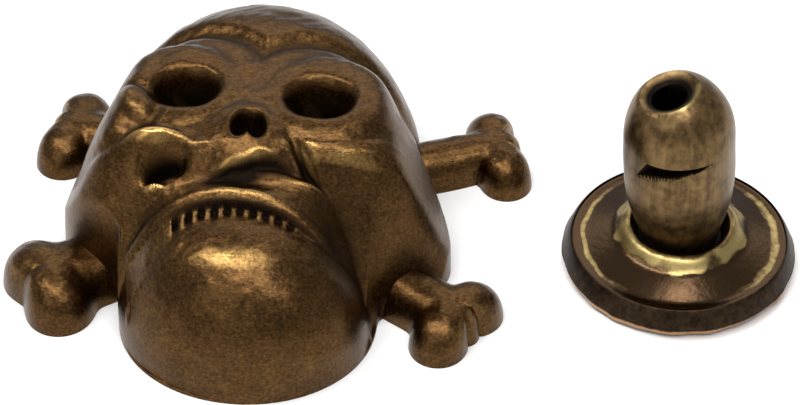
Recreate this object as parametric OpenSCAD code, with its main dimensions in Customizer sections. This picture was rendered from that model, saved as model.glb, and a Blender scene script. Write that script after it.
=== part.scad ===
// Two-part rivet for leather: a cast skull and crossbones cap, and the tubular post that is
// driven into its back. The two stand side by side, the cap on its flat back and the post on
// its head. The origin is on the back of the cap, at the mouth of its socket. +Y runs to the
// crown of the skull, +Z out of the back.

/* [Cap] */
// Width of the cap over the ends of the crossbones
cap_width = 15.4; // [12:0.1:20]
// Length of the cap from chin to crown
cap_length = 14.2; // [11:0.1:18]
// Height of the cap over its back
cap_height = 5.7; // [5.4:0.1:7.5]
// Offset of the face from the middle of the back
face_shift = 0.42; // [0:0.02:0.6]
// Depth of the eye sockets
eye_depth = 2.1; // [1.5:0.1:2.3]
// Half width of a bone beside its end
bone_radius = 0.95; // [0.75:0.05:1.05]
// Height of a bone at its end
bone_height = 1.25; // [1:0.05:1.6]
// Radius of the knobs at the ends of the bones
knob_radius = 0.8; // [0.7:0.02:0.9]
// Half of the distance between the two knobs of a bone end
knob_spread = 0.9; // [0.8:0.02:1]

/* [Teeth] */
// Number of teeth across the mouth
tooth_count = 9; // [5:2:13]
// Distance between the middles of two teeth
tooth_pitch = 0.37; // [0.3:0.01:0.44]
// Width of the gap between two teeth
tooth_gap = 0.15; // [0.1:0.01:0.2]

/* [Socket] */
// Bore of the socket in the back
socket_bore = 3.4; // [2.8:0.1:4]
// Depth of the socket
socket_depth = 3; // [2.4:0.1:3.2]
// Width of the chamfer at the mouth of the socket
socket_chamfer = 0.2; // [0.1:0.05:0.4]

/* [Post] */
// Gap all round between the stem and the socket
stem_clearance = 0.06; // [0.02:0.01:0.1]
// Height of the post over the surface that it stands on
post_height = 7; // [6:0.1:9]
// Wall of the stem
stem_wall = 0.5; // [0.44:0.02:0.6]
// Diameter of the neck at the foot of the stem
neck_width = 2.2; // [2:0.05:2.4]
// Angle by which the stem leans to one side
post_lean = 3.2; // [0:0.2:4]
// Diameter of the collar that stands up round the neck
collar_width = 4; // [3.7:0.1:4.3]
// Diameter of the hole pierced in the tip
tip_hole = 1.25; // [0.9:0.05:1.4]
// Distance of the hole from the axis of the stem
tip_hole_offset = 0.36; // [0:0.02:0.4]
// Depth of the dent across the stem
dent_depth = 0.3; // [0.1:0.02:0.34]

/* [Base] */
// Diameter of the base cap
base_width = 7; // [6.4:0.1:9]
// Height of the base cap
base_height = 0.95; // [0.85:0.05:1.1]
// Thickness of the sheet of the base cap
sheet = 0.22; // [0.18:0.02:0.26]
// Width of the rim that is curled in over the post
curl_width = 0.45; // [0.4:0.05:0.6]
// Clearance between the post and the base cap
seat_clearance = 0.02; // [0.01:0.01:0.05]

/* [Layout] */
// Distance from the socket to the axis of the post, across
post_x = 12.4; // [11.5:0.1:18]
// Distance from the socket to the axis of the post, along
post_y = 0.9; // [-4:0.1:4]

/* [Hidden] */

// Finish of each piece
bronze = [0.36, 0.25, 0.13];
stem_brown = [0.42, 0.29, 0.15];
rim_brown = [0.3, 0.21, 0.12];

// Facets of the head and of a bone end: points round each ring, and rings
head_around = 90;
head_rings = 40;
arm_around = 44;
arm_rings = 11;
// Crowding of the rings towards the outline, where the sides are steep
crowding = 1.35;
// Point of the head's plan that its rings spread from
hub = [0, 0.2];
// Facets of turned surfaces
turned_fn = 120;

// Level of the cheeks, the brows, the crown, the upper jaw, the lip and the chin
cheek_z = 5.0;
brow_z = 5.75;
crown_z = 5.3;
jaw_z = 5.25;
lip_z = 4.3;
chin_z = 3.85;
// Drop from the lip to the top of the teeth
tooth_drop = 0.3;
// Plan of each brow pad: its middle, its two reaches and its turn
brow_left = [[-2.1, 1.25], [2.6, 2.45], 8];
brow_right = [[2.2, 1.15], [2.6, 2.35], -8];
// Bone ends: angle and distance of the middle of each from the socket, the direction in which it
// points, and its shares of the knob radius, knob spread, half width and height
bone_ends = [
    [34.5, 8.05, 20, 0.9, 1.09, 0.9, 0.92],
    [147, 7.7, 166, 0.95, 1.06, 0.95, 0.92],
    [203.2, 6.63, 216, 1.15, 0.89, 1.26, 1.08],
    [334.6, 6.66, 326, 0.98, 0.96, 1, 0.96]
];

// Rounded highest and lowest of two levels, k being the width of the rounding
function soft_max(a, b, k) = (a + b + sqrt((a - b) * (a - b) + k * k)) / 2;
function soft_min(a, b, k) = (a + b - sqrt((a - b) * (a - b) + k * k)) / 2;
// Smooth rise from 0 to 1 as t goes from -1 to 1
function rise(t) = let (u = max(0, min(1, (t + 1) / 2))) u * u * (3 - 2 * u);
// Squared reach of a turned oval: 0 at its middle, 1 on its edge
function oval(x, y, at, size, turn = 0) =
    let (dx = x - at[0], dy = y - at[1])
    pow((dx * cos(turn) + dy * sin(turn)) / size[0], 2)
    + pow((dy * cos(turn) - dx * sin(turn)) / size[1], 2);
// Flat-topped mound over an oval, and flat-bottomed hollow of depth 1
function mound(reach, z, fullness) = z * sqrt(max(0, 1 - pow(reach, fullness)));
function hollow(reach, fullness) = exp(-pow(reach, fullness));
// Distance from a point of the plan to an oval's far edge in a direction
function edge(a, from, at, size) =
    let (c = cos(a) / size[0], s = sin(a) / size[1],
         p = (from[0] - at[0]) / size[0], q = (from[1] - at[1]) / size[1],
         m = c * c + s * s, n = c * p + s * q, d = n * n - m * (p * p + q * q - 1))
    d > 0 ? (sqrt(d) - n) / m : 0;

// Middle line of the face, shifted to one side, and back to the middle at the chin
function middle(y) = -face_shift * max(0, min(1, (y + 6) / 3));

// Plan of the head: crown, cheeks and chin, run together
function outline(a) =
    soft_max(
        soft_max(edge(a, hub, [-0.35, 2.0], [4.85, 5.6]), edge(a, hub, [-0.15, -0.35], [5.75, 2.9]), 0.3),
        edge(a, hub, [-0.1, -3.1], [3.75, 3.3]), 0.3);

// Crown, and the two brow pads with the bridge between them and the crease behind them
function crown(x, y) = mound(oval(x, y, [0, 1.9], [5.15, 6.03]), crown_z, 1.35);
function brows(x, y) =
    let (left = mound(oval(x, y, brow_left[0], brow_left[1], brow_left[2]), brow_z, 2.5),
         right = mound(oval(x, y, brow_right[0], brow_right[1], brow_right[2]), brow_z, 2.5),
         bridge = mound(oval(x, y, [0.1, 0.7], [1.3, 1.85]), brow_z - 0.25, 2.5))
    soft_max(soft_max(left, right, 0.15), bridge, 0.3);
function crease(x, y) =
    let (near = min(oval(x, y, brow_left[0], brow_left[1], brow_left[2]),
                    oval(x, y, brow_right[0], brow_right[1], brow_right[2])))
    0.36 * exp(-pow((sqrt(near) - 1.11) / 0.15, 2)) * rise((y - 2.1) / 0.7);

// Level of the cheeks, cut off by the slanted flanks and by the fronts, which round over and
// fall to the back beside the chin, further forward on the left
function cheeks(x, y) = soft_min(cheek_z - 0.015 * x * x, 4 * (2.6 - y), 0.3);
function flank(x, y) = 1.2 + 2.3 * (5.8 - 0.045 * pow(max(0, y + 1), 1.6) - abs(x - 0.15));
function front(x, y) =
    let (left = max(0, min(1, 0.5 - x / 3)),
         start = -0.75 - 0.25 * left + 0.1 * pow(max(0, abs(x) - 1.7), 2),
         foot = -3.2 - 0.75 * left + max(0, abs(x) - 3.8),
         fall = max(0, min(1, (start - y) / max(0.5, start - foot))))
    5.1 * pow(1 - pow(fall, 1.05), 0.77);
function upper_face(x, y) =
    let (raised = soft_max(soft_max(crown(x, y) - crease(x, y), brows(x, y), 0.15), cheeks(x, y), 0.2))
    soft_min(soft_min(raised, flank(x, y), 0.5), front(x, y), 0.2);

// Upper jaw: a block under the nose that ends in a slanted ledge over the mouth
function jaw(x, y) = mound(oval(x, y, [0.22, -0.4], [1.3, 1.2], 12), jaw_z, 5);

// Left cheek: a boss, a ridge, the hollow under it and a bead. Right cheek: a band and the
// groove beside the jaw. Last comes the groove under the ledge
function cheek_relief(x, y) =
    0.45 * hollow(oval(x, y, [-3.55, 0.3], [0.66, 0.6]), 2)
    + 0.35 * hollow(oval(x, y, [-2.45, -0.85], [0.95, 0.26], 4), 1)
    - 1.5 * hollow(oval(x, y, [-2.25, -1.38], [0.6, 0.46], 14), 1.3)
    + 0.3 * hollow(oval(x, y, [-2.4, -2.05], [0.42, 0.18], 20), 1)
    + 0.1 * hollow(oval(x, y, [3.0, -0.75], [1.1, 0.25], 10), 1)
    - 0.5 * hollow(oval(x, y, [1.85, -1.2], [0.14, 0.55], 42), 1)
    - 0.3 * hollow(oval(x, y, [0.25, -1.85], [1.25, 0.2], 10), 1);

// Lip, bent down at the corners of the mouth and dished over its rolled edge
function lip_line(x) = -2.5 - 0.07 * x * x;
function lip_level(x) = lip_z - 0.07 * x * x - 0.012 * pow(x, 4);
function muzzle(x, y) =
    let (body = mound(oval(x, y, [0.1, -3.1], [4.1, 2.6]), lip_z + 0.05, 2),
         dish = 0.15 * hollow(oval(x, y, [0.1, -1.9], [2.0, 0.25]), 1),
         roll = 0.12 * hollow(oval(x, y - lip_line(x), [0, 0.28], [2.6, 0.2]), 1))
    soft_min(min(body, lip_level(x) - 0.04) - dish + roll, lip_level(x) + 3 * (y - lip_line(x)), 0.3);

// Row of teeth, set back under the lip
function tooth_row(x, y) =
    let (level = lip_level(x) - tooth_drop)
    abs(x) < 3.2 && y < lip_line(x) + 0.1
        ? soft_min(level, level + 0.4 * (y - lip_line(x)), 0.08)
        : 0;

// Chin, a full ball in front of the teeth
function chin(x, y) = mound(oval(x, y, [-0.45 - 0.09 * y, -3.3], [3.72, 3.12]), chin_z, 1.1);

// Eye sockets and nose, whose two lobes part downwards
function holes(x, y) =
    eye_depth * hollow(oval(x, y, [-1.93, 1.2], [0.74, 0.66], 6), 1.7)
    + eye_depth * hollow(oval(x, y, [2.12, 1.08], [0.76, 0.66], -4), 1.7)
    + 1.2 * max(hollow(oval(x, y, [0, -0.25], [0.24, 0.42], -20), 1.6),
                hollow(oval(x, y, [0.32, -0.25], [0.24, 0.42], 20), 1.6));

// Height of the head over a point of its back, reach being 0 at the hub and 1 on the outline
function head_height(px, y, reach) =
    let (x = px - middle(y),
         face = soft_max(upper_face(x, y), jaw(x, y), 0.2) + cheek_relief(x, y),
         mouth = max(soft_max(face, max(0, muzzle(x, y)), 0.12), tooth_row(x, y)),
         whole = soft_max(mouth, chin(px, y), 0.03) - holes(x, y),
         wall = 5.7 * sqrt(max(0, 1 - pow(reach, 9))))
    max(0.02, soft_min(whole, wall, 0.15));

// Closed skin over a plan that is seen whole from its hub: rings of points from the hub out to
// the outline, at the height of the form there, over a flat back
module relief(hub, around, rings, plan, height) {
    ring = [for (i = [0:around - 1]) 360 * i / around];
    points = [
        [hub[0], hub[1], height(hub[0], hub[1], 0)],
        for (j = [1:rings]) for (a = ring)
            let (reach = 1 - pow(1 - j / rings, crowding), r = plan(a) * reach,
                 x = hub[0] + r * cos(a), y = hub[1] + r * sin(a))
            [x, y, j == rings ? 0 : height(x, y, reach)]
    ];
    last = 1 + (rings - 1) * around;
    faces = [
        for (i = [0:around - 1]) [0, 1 + (i + 1) % around, 1 + i],
        for (j = [0:rings - 2]) for (i = [0:around - 1])
            let (k = (i + 1) % around, a = 1 + j * around, b = a + around)
            each [[a + i, a + k, b + k], [a + i, b + k, b + i]],
        [for (i = [0:around - 1]) last + i]
    ];
    polyhedron(points, faces, convexity = 8);
}

module head() {
    relief(hub, head_around, head_rings, function (a) outline(a),
           function (x, y, reach) head_height(x, y, reach));
}

// End of a crossbone: a shaft that runs out into two knobs, under a wall that falls to its edge
function arm_plan(a, knob, spread, shaft) =
    soft_max(edge(a, [0, 0], [0, (a <= 180 ? 1 : -1) * spread], [knob, knob]),
             edge(a, [0, 0], [-2.3, 0], [2.95, shaft]), 0.5);
function arm_height(x, y, reach, knob, spread, shaft, top) =
    let (size = 1.25 * knob,
         lobe = top * sqrt(max(0, 1 - 0.8 * oval(x, abs(y), [0, spread], [size, size]))),
         bar = 0.95 * top * sqrt(max(0, 1.1 - 0.9 * pow(y / shaft, 2))) - 0.25 * max(0, x),
         wall = 1.15 * top * sqrt(max(0, 1 - pow(reach, 2.6))))
    max(0.02, soft_min(soft_max(lobe, bar, 0.3), wall, 0.3));
module bone_arm(knob, spread, shaft, top) {
    relief([0, 0], arm_around, arm_rings, function (a) arm_plan(a, knob, spread, shaft),
           function (x, y, reach) arm_height(x, y, reach, knob, spread, shaft, top));
}

// Four bone ends round the head, each with its own place, turn and sizes
module crossbones() {
    for (end = bone_ends)
        translate([end[1] * cos(end[0]), end[1] * sin(end[0]), 0])
            rotate(end[2])
                bone_arm(end[3] * knob_radius, end[4] * knob_spread, end[5] * bone_radius,
                         end[6] * bone_height);
}

// Gaps that part the teeth, cut down through the row under the lip
module tooth_gaps() {
    for (i = [0:tooth_count]) {
        x = (i - tooth_count / 2) * tooth_pitch;
        y = lip_line(x) - 0.02;
        translate([x + middle(y), y, lip_level(x) - tooth_drop - 0.3])
            rotate(-8 * x)
                translate([-tooth_gap / 2, -0.5, 0])
                    cube([tooth_gap, 0.5, 0.5]);
    }
}

// Section of the socket, with its chamfered mouth
function socket_section() =
    let (r = socket_bore / 2, c = socket_chamfer)
    [[0, -1], [r + c + 1, -1], [r, c], [r, socket_depth], [0, socket_depth]];

// The whole cap, one casting, with the socket bored into its back
module skull_cap() {
    color(bronze)
        difference() {
            resize([cap_width, cap_length, cap_height])
                difference() {
                    union() {
                        head();
                        crossbones();
                    }
                    tooth_gaps();
                }
            rotate_extrude($fn = turned_fn)
                polygon(socket_section());
        }
}

// Sizes that the post takes from the socket and the base cap
stem_r = socket_bore / 2 - stem_clearance;
neck_r = neck_width / 2;
flange_bottom = sheet + seat_clearance;
flange_top = base_height - sheet - seat_clearance;
flange_rise = (flange_top - flange_bottom) / 2;
curl_r = base_width / 2 - curl_width;
collar_r = collar_width / 2;
collar_foot = base_height + 0.2;
collar_top = base_height + 0.57;
trough_z = base_height + 0.02;
// Straight band of the stem at its widest, and the foot of its domed tip
band_low = 0.535 * post_height;
band_high = 0.635 * post_height;
dome_z = post_height - 1.22 * stem_r;
dome_rise = post_height - dome_z;

// Points of an arc about a middle, from one angle to another
function arc(at, rx, rz, a0, a1, n) =
    [for (i = [0:n]) let (a = a0 + (a1 - a0) * i / n) [at[0] + rx * cos(a), at[1] + rz * sin(a)]];

// Section of the flange: a plate that rises to the collar, which stands up round a trough
flange_section = concat(
    [[collar_r - 0.55, flange_bottom]],
    arc([curl_r, base_height / 2], curl_width - sheet - seat_clearance, flange_rise, -90, 90, 8),
    [[curl_r - seat_clearance, flange_top + 0.06]],
    [[collar_r + 0.35, collar_foot - 0.12], [collar_r, collar_foot]],
    arc([collar_r - 0.5, collar_top - 0.09], 0.09, 0.09, 40, 170, 5),
    [[collar_r - 0.76, trough_z], [neck_r - 0.2, trough_z], [neck_r - 0.2, trough_z - 0.25]],
    [[collar_r - 0.55, trough_z - 0.25]]);

// Section of the stem: a neck that swells to the widest band, and a domed tip
stem_outside = concat(
    [[0, trough_z - 0.2], [neck_r, trough_z - 0.2]],
    [for (i = [0:8]) let (t = i / 8)
        [neck_r + (stem_r - neck_r) * sin(90 * t), trough_z + (band_low - trough_z) * t]],
    [[stem_r, band_high]],
    arc([0, dome_z], stem_r - 0.03, dome_rise, 12, 90, 12));
stem_inside = concat(
    [[0, -1], [neck_r - stem_wall, -1], [neck_r - stem_wall, trough_z + 0.4]],
    [[stem_r - stem_wall, band_low - 0.4], [stem_r - stem_wall, band_high]],
    arc([0, dome_z], stem_r - stem_wall - 0.03, dome_rise - stem_wall, 8, 90, 6));

// Turns a form about the foot of the stem by the stem's lean
module leaning() {
    translate([0, 0, trough_z])
        rotate([0, -post_lean, 0])
            translate([0, 0, -trough_z])
                children();
}

// Drawn in one piece from sheet: flange, collar and hollow stem with its tip pierced
module post() {
    color(stem_brown)
        translate([post_x, post_y, 0])
            difference() {
                union() {
                    rotate_extrude($fn = turned_fn)
                        polygon(flange_section);
                    leaning()
                        rotate_extrude($fn = turned_fn)
                            polygon(stem_outside);
                }
                leaning() {
                    rotate_extrude($fn = turned_fn)
                        polygon(stem_inside);
                    translate([-tip_hole_offset, -0.15, dome_z])
                        cylinder(h = 3, d = tip_hole, $fn = 32);
                    dent();
                }
            }
}

// Shallow scoop across the front of the stem
module dent() {
    scoop_r = 0.32;
    translate([0.12, -stem_r - scoop_r + dent_depth, 0.71 * post_height])
        rotate([0, 75, 0])
            translate([0, 0, -2])
                cylinder(h = 4, r = scoop_r, $fn = 48);
}

// Section of the base cap: a shallow cup of sheet with its rim curled in
function base_section() =
    let (r = base_width / 2, mid = base_height / 2, inner = curl_width - sheet)
    concat(
        [[0, 0], [r - 1.2 * curl_width, 0]],
        arc([r - curl_width, mid], curl_width, mid, -60, 90, 12),
        arc([r - curl_width, mid], inner, mid - sheet, 90, -90, 10),
        [[0, sheet]]);

module base_cap() {
    color(rim_brown)
        translate([post_x, post_y, 0])
            rotate_extrude($fn = turned_fn)
                polygon(base_section());
}

skull_cap();
post();
base_cap();
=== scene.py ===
"""Dresses a two-part leather rivet: a cast skull and crossbones cap, and its tubular post."""
import logging
import math
from dataclasses import dataclass, field
from typing import Callable

import bpy
import numpy as np
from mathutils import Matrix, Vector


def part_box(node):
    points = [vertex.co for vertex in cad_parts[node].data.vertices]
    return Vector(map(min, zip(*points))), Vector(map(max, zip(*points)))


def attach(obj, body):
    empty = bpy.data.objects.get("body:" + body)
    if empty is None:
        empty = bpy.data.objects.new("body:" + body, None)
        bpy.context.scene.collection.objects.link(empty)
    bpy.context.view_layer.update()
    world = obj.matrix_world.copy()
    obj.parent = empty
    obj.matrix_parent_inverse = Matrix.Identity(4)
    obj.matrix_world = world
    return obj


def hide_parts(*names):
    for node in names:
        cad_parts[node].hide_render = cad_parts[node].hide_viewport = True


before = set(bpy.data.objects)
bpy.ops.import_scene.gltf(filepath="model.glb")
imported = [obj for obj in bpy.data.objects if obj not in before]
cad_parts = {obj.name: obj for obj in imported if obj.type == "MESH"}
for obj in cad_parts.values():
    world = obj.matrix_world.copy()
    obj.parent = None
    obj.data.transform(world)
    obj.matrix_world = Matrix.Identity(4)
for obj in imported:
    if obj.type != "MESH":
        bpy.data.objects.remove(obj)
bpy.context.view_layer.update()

MM = 0.001
BODY = "root"
LOG = logging.getLogger("rivet")
Array = np.ndarray
Triple = tuple[float, float, float]
Oval = tuple[tuple[float, float], tuple[float, float], float]
Value = float | Triple | bpy.types.NodeSocket


def soft_max(a: Array, b: Array, k: float) -> Array:
    """Rounded highest of two levels: their mean plus half of sqrt(difference squared + k squared)."""
    return 0.5 * (a + b + np.sqrt((a - b) ** 2 + k * k))


def soft_min(a: Array, b: Array, k: float) -> Array:
    """Rounded lowest of two levels: their mean less half of sqrt(difference squared + k squared)."""
    return 0.5 * (a + b - np.sqrt((a - b) ** 2 + k * k))


def rise(t: Array) -> Array:
    """Smooth rise from 0 to 1 as t goes from -1 to 1: u u (3 - 2 u) of u = (t + 1) / 2."""
    u = np.clip(0.5 * (t + 1.0), 0.0, 1.0)
    return u * u * (3.0 - 2.0 * u)


def oval(x: Array, y: Array, at: tuple[float, float], size: tuple[float, float], turn: float = 0.0) -> Array:
    """Squared reach of a turned oval, 0 at its middle and 1 on its edge.

    Args:
        x, y: Places in the plan, in mm.
        at: Middle of the oval.
        size: Its two half axes.
        turn: Its turn, in degrees.

    Returns:
        (turned dx / first half axis) squared + (turned dy / second half axis) squared.
    """
    c, s = math.cos(math.radians(turn)), math.sin(math.radians(turn))
    dx, dy = x - at[0], y - at[1]
    return ((dx * c + dy * s) / size[0]) ** 2 + ((dy * c - dx * s) / size[1]) ** 2


def mound(reach: Array, level: float | Array, fullness: float) -> Array:
    """Flat-topped mound over an oval: level times sqrt(1 - reach to the power of the fullness)."""
    return level * np.sqrt(np.clip(1.0 - reach ** fullness, 0.0, None))


def hollow(reach: Array, fullness: float) -> Array:
    """Flat-bottomed hollow of depth 1: e to minus the reach to the power of the fullness."""
    return np.exp(-reach ** fullness)


def edge_along(angle: Array, hub: tuple[float, float], at: tuple[float, float],
               size: tuple[float, float]) -> Array:
    """Distance from a hub to an oval's edge in each direction.

    Args:
        angle: Directions, in radians.
        hub: The point that the directions start from.
        at: Middle of the oval.
        size: Its two half axes.

    Returns:
        The larger root of the quadratic that puts hub + distance x direction on the oval, else 0.
    """
    c, s = np.cos(angle) / size[0], np.sin(angle) / size[1]
    p, q = (hub[0] - at[0]) / size[0], (hub[1] - at[1]) / size[1]
    m, n = c * c + s * s, c * p + s * q
    d = n * n - m * (p * p + q * q - 1.0)
    return np.where(d > 0.0, (np.sqrt(np.clip(d, 0.0, None)) - n) / m, 0.0)


@dataclass(frozen=True)
class Ripple:
    """A smooth random field: the mean of plane sine waves in seeded random directions.

    Args:
        length: Wavelength of the waves, in mm.
        waves: Number of waves.
        seed: Seed of their directions and phases.
    """

    length: float
    waves: int = 24
    seed: int = 1

    def at(self, points: Array) -> Array:
        """Value of the field, about -1 to 1, at points in mm whose last axis holds x, y and z."""
        random = np.random.default_rng(self.seed)
        ways = random.normal(size=(self.waves, 3))
        ways /= np.linalg.norm(ways, axis=1, keepdims=True)
        turns = random.uniform(0.0, 2.0 * math.pi, self.waves)
        rates = 2.0 * math.pi / (self.length * random.uniform(0.75, 1.35, self.waves))
        total = np.zeros(points.shape[:-1])
        for way, turn, rate in zip(ways, turns, rates):
            total += np.sin(points @ way * rate + turn)
        return total / math.sqrt(self.waves)


@dataclass
class Skin:
    """A closed surface of rings, from one pole to another, or back to its own first ring.

    Args:
        name: Name of the piece.
        rings: Array of shape (rings, points round, 3), in mm.
        poles: The two points that the first and last rings close on, or nothing for a loop.
        tones: Named values for the finish, one array of shape (rings, points round) each.
        crease: Angle over which an edge is sharp, in degrees.
    """

    name: str
    rings: Array
    poles: Array | None = None
    tones: dict[str, Array] = field(default_factory=dict)
    crease: float = 50.0

    def faces(self) -> tuple[Array, Array]:
        """Quads between rings, and triangles round the poles, all facing outwards."""
        m, n = self.rings.shape[:2]
        i = np.arange(n)
        k = (i + 1) % n
        first = np.arange(m if self.poles is None else m - 1)[:, None]
        here, there = first * n, (first + 1) % m * n
        quads = np.stack([here + i, there + i, there + k, here + k], -1).reshape(-1, 4)
        if self.poles is None:
            return quads, np.zeros((0, 3), dtype=int)
        end = (m - 1) * n
        caps = np.concatenate([
            np.stack([np.full(n, m * n), i, k], -1),
            np.stack([np.full(n, m * n + 1), end + k, end + i], -1),
        ])
        return quads, caps

    def build(self, material: bpy.types.Material) -> bpy.types.Object:
        """Makes the mesh object, with its tones as point attributes and its finish.

        Args:
            material: The finish of the piece.

        Returns:
            The new object, at the world's origin.
        """
        quads, caps = self.faces()
        poles = np.zeros((0, 3)) if self.poles is None else self.poles
        points = np.concatenate([self.rings.reshape(-1, 3), poles]) * MM
        mesh = bpy.data.meshes.new(self.name)
        mesh.vertices.add(len(points))
        mesh.vertices.foreach_set("co", points.ravel())
        corners = np.concatenate([quads.ravel(), caps.ravel()]).astype(np.int32)
        mesh.loops.add(len(corners))
        mesh.loops.foreach_set("vertex_index", corners)
        sizes = np.concatenate([np.full(len(quads), 4), np.full(len(caps), 3)])
        starts = np.concatenate([[0], np.cumsum(sizes)[:-1]]).astype(np.int32)
        mesh.polygons.add(len(sizes))
        mesh.polygons.foreach_set("loop_start", starts)
        mesh.update(calc_edges=True)
        mesh.validate()
        mesh.polygons.foreach_set("use_smooth", np.ones(len(sizes), dtype=bool))
        mesh.set_sharp_from_angle(angle=math.radians(self.crease))
        for name, values in self.tones.items():
            tone = mesh.attributes.new(name, "FLOAT", "POINT")
            ends = np.zeros(len(poles))
            tone.data.foreach_set("value", np.concatenate([values.ravel(), ends]).astype(np.float32))
        mesh.materials.append(material)
        made = bpy.data.objects.new(self.name, mesh)
        bpy.context.scene.collection.objects.link(made)
        return made


@dataclass
class HeadForm:
    """Form of the skull over its flat back, in mm, in the sculptor's own scale.

    The height over a point of the plan is the rounded highest of the forms of the face, less its
    holes, under a wall that falls to the outline. reach is 0 at the hub and 1 on the outline.
    """

    hub: tuple[float, float] = (0.0, 0.2)
    shift: float = 0.42
    lean: float = 0.0
    crown_z: float = 5.3
    brow_z: float = 5.75
    cheek_z: float = 5.0
    jaw_z: float = 5.15
    lip_z: float = 4.14
    chin_z: float = 3.7
    brow_left: Oval = ((-2.1, 1.25), (2.6, 2.45), 8.0)
    brow_right: Oval = ((2.2, 1.15), (2.6, 2.35), -8.0)
    eye_depth: float = 2.1
    tooth_drop: float = 0.3
    tooth_count: int = 9
    tooth_pitch: float = 0.37
    tooth_gap: float = 0.15

    def middle(self, y: Array) -> Array:
        """Middle line of the face, shifted to one side, and back to the middle at the chin."""
        return -self.shift * np.clip((y + 6.0) / 3.0, 0.0, 1.0) - self.lean * y

    def outline(self, angle: Array) -> Array:
        """Plan of the head: the rounded highest of the edges of the crown, the cheeks and the chin."""
        crown = edge_along(angle, self.hub, (-0.35, 2.0), (4.85, 5.6))
        cheeks = edge_along(angle, self.hub, (-0.15, -0.35), (5.75, 2.9))
        chin = edge_along(angle, self.hub, (-0.1, -3.1), (3.75, 3.3))
        return soft_max(soft_max(crown, cheeks, 0.3), chin, 0.3)

    def brows(self, x: Array, y: Array) -> Array:
        """Two brow pads and the bridge between them, whose upper edges form an M."""
        left = mound(oval(x, y, *self.brow_left), self.brow_z, 2.5)
        right = mound(oval(x, y, *self.brow_right), self.brow_z, 2.5)
        bridge = mound(oval(x, y, (0.1, 0.6), (1.2, 1.6)), self.brow_z - 0.3, 1.4)
        return soft_max(soft_max(left, right, 0.15), bridge, 0.3)

    def crease(self, x: Array, y: Array) -> Array:
        """Valley behind the brows: a bell across the edge of the nearer pad, over the eyes only."""
        near = np.minimum(oval(x, y, *self.brow_left), oval(x, y, *self.brow_right))
        return 0.36 * np.exp(-((np.sqrt(near) - 1.11) / 0.15) ** 2) * rise((y - 2.1) / 0.7)

    def upper_face(self, x: Array, y: Array) -> Array:
        """Crown, brows and cheeks, cut off by the slanted flanks and the rounded fronts."""
        crown = mound(oval(x, y, (0.0, 1.9), (5.15, 6.03)), self.crown_z, 1.35)
        cheeks = soft_min(self.cheek_z - 0.015 * x * x, 4.0 * (2.6 - y), 0.3)
        raised = soft_max(soft_max(crown - self.crease(x, y), self.brows(x, y), 0.15), cheeks, 0.4)
        flank = 1.2 + 2.3 * (5.8 - 0.045 * np.clip(y + 1.0, 0.0, None) ** 1.6 - np.abs(x - 0.15))
        return soft_min(soft_min(raised, flank, 0.9), self.front(x, y), 0.6)

    def front(self, x: Array, y: Array) -> Array:
        """Front of the cheeks, which round over and fall to the back beside the chin.

        The fall t goes from 0 at its start to 1 at its foot. The start bends back with the square of
        the distance from the middle, the foot slants back past the chin, and both lie further
        forward on the left. The level is 5.1 times (1 - t to the 1.05) to the 0.77.
        """
        left = np.clip(0.5 - x / 3.0, 0.0, 1.0)
        start = -0.85 - 0.35 * left + 0.1 * np.clip(np.abs(x) - 1.7, 0.0, None) ** 2
        foot = -3.2 - 0.75 * left + 1.0 * np.clip(np.abs(x) - 3.8, 0.0, None)
        t = np.clip((start - y) / np.clip(start - foot, 0.5, None), 0.0, 1.0)
        return 5.1 * (1.0 - t ** 1.05) ** 0.77

    def jaw(self, x: Array, y: Array) -> Array:
        """Upper jaw: a dome round the nose, cut off by a steep face at a slanted ledge over the mouth.

        With v the distance from the nose across the ledge, the face is 4.8 + 7 (v + 1.1).
        """
        turn = math.radians(20.0)
        v = (y + 0.4) * math.cos(turn) - x * math.sin(turn) + 0.04 * np.sin(8.0 * x)
        dome = mound(oval(x, y, (0.05, -0.3), (3.5, 3.0)), self.jaw_z - 0.05, 1.0)
        return np.clip(soft_min(dome, 4.8 + 7.0 * (v + 1.1), 0.12), 0.0, None)

    def cheek_relief(self, x: Array, y: Array) -> Array:
        """Boss, ridge and hollow of the left cheek, and the groove beside the jaw on the right."""
        round_it = oval(x, y, (-3.85, 0.05), (1.0, 0.85))
        boss = 0.33 * hollow(round_it, 1.4) - 0.12 * np.exp(-((np.sqrt(round_it) - 1.25) / 0.2) ** 2)
        ridge = 0.36 * hollow(oval(x, y, (-2.65, -1.05), (0.8, 0.36), 4.0), 1.2)
        pocket = 1.3 * hollow(oval(x, y, (-2.15, -1.58), (0.5, 0.34), 14.0), 1.2)
        bead = 0.3 * hollow(oval(x, y, (-2.4, -2.05), (0.42, 0.18), 20.0), 1.0)
        groove = 0.42 * hollow(oval(x, y, (1.85, -1.2), (0.17, 0.55), 42.0), 1.0)
        under = 0.3 * hollow(oval(x, y, (0.25, -1.85), (1.25, 0.2), 10.0), 1.0)
        band = 0.1 * hollow(oval(x, y, (3.15, -0.85), (1.1, 0.25), 10.0), 1.0)
        return boss + ridge - pocket + bead - groove - under + band

    def lip_line(self, x: Array) -> Array:
        """Edge of the lip in plan, a parabola bent down at the corners of the mouth."""
        return -2.58 - 0.07 * x * x

    def lip_level(self, x: Array) -> Array:
        """Height of the lip along its edge, falling with x squared and x to the fourth."""
        return self.lip_z - 0.07 * x ** 2 - 0.012 * x ** 4

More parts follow.
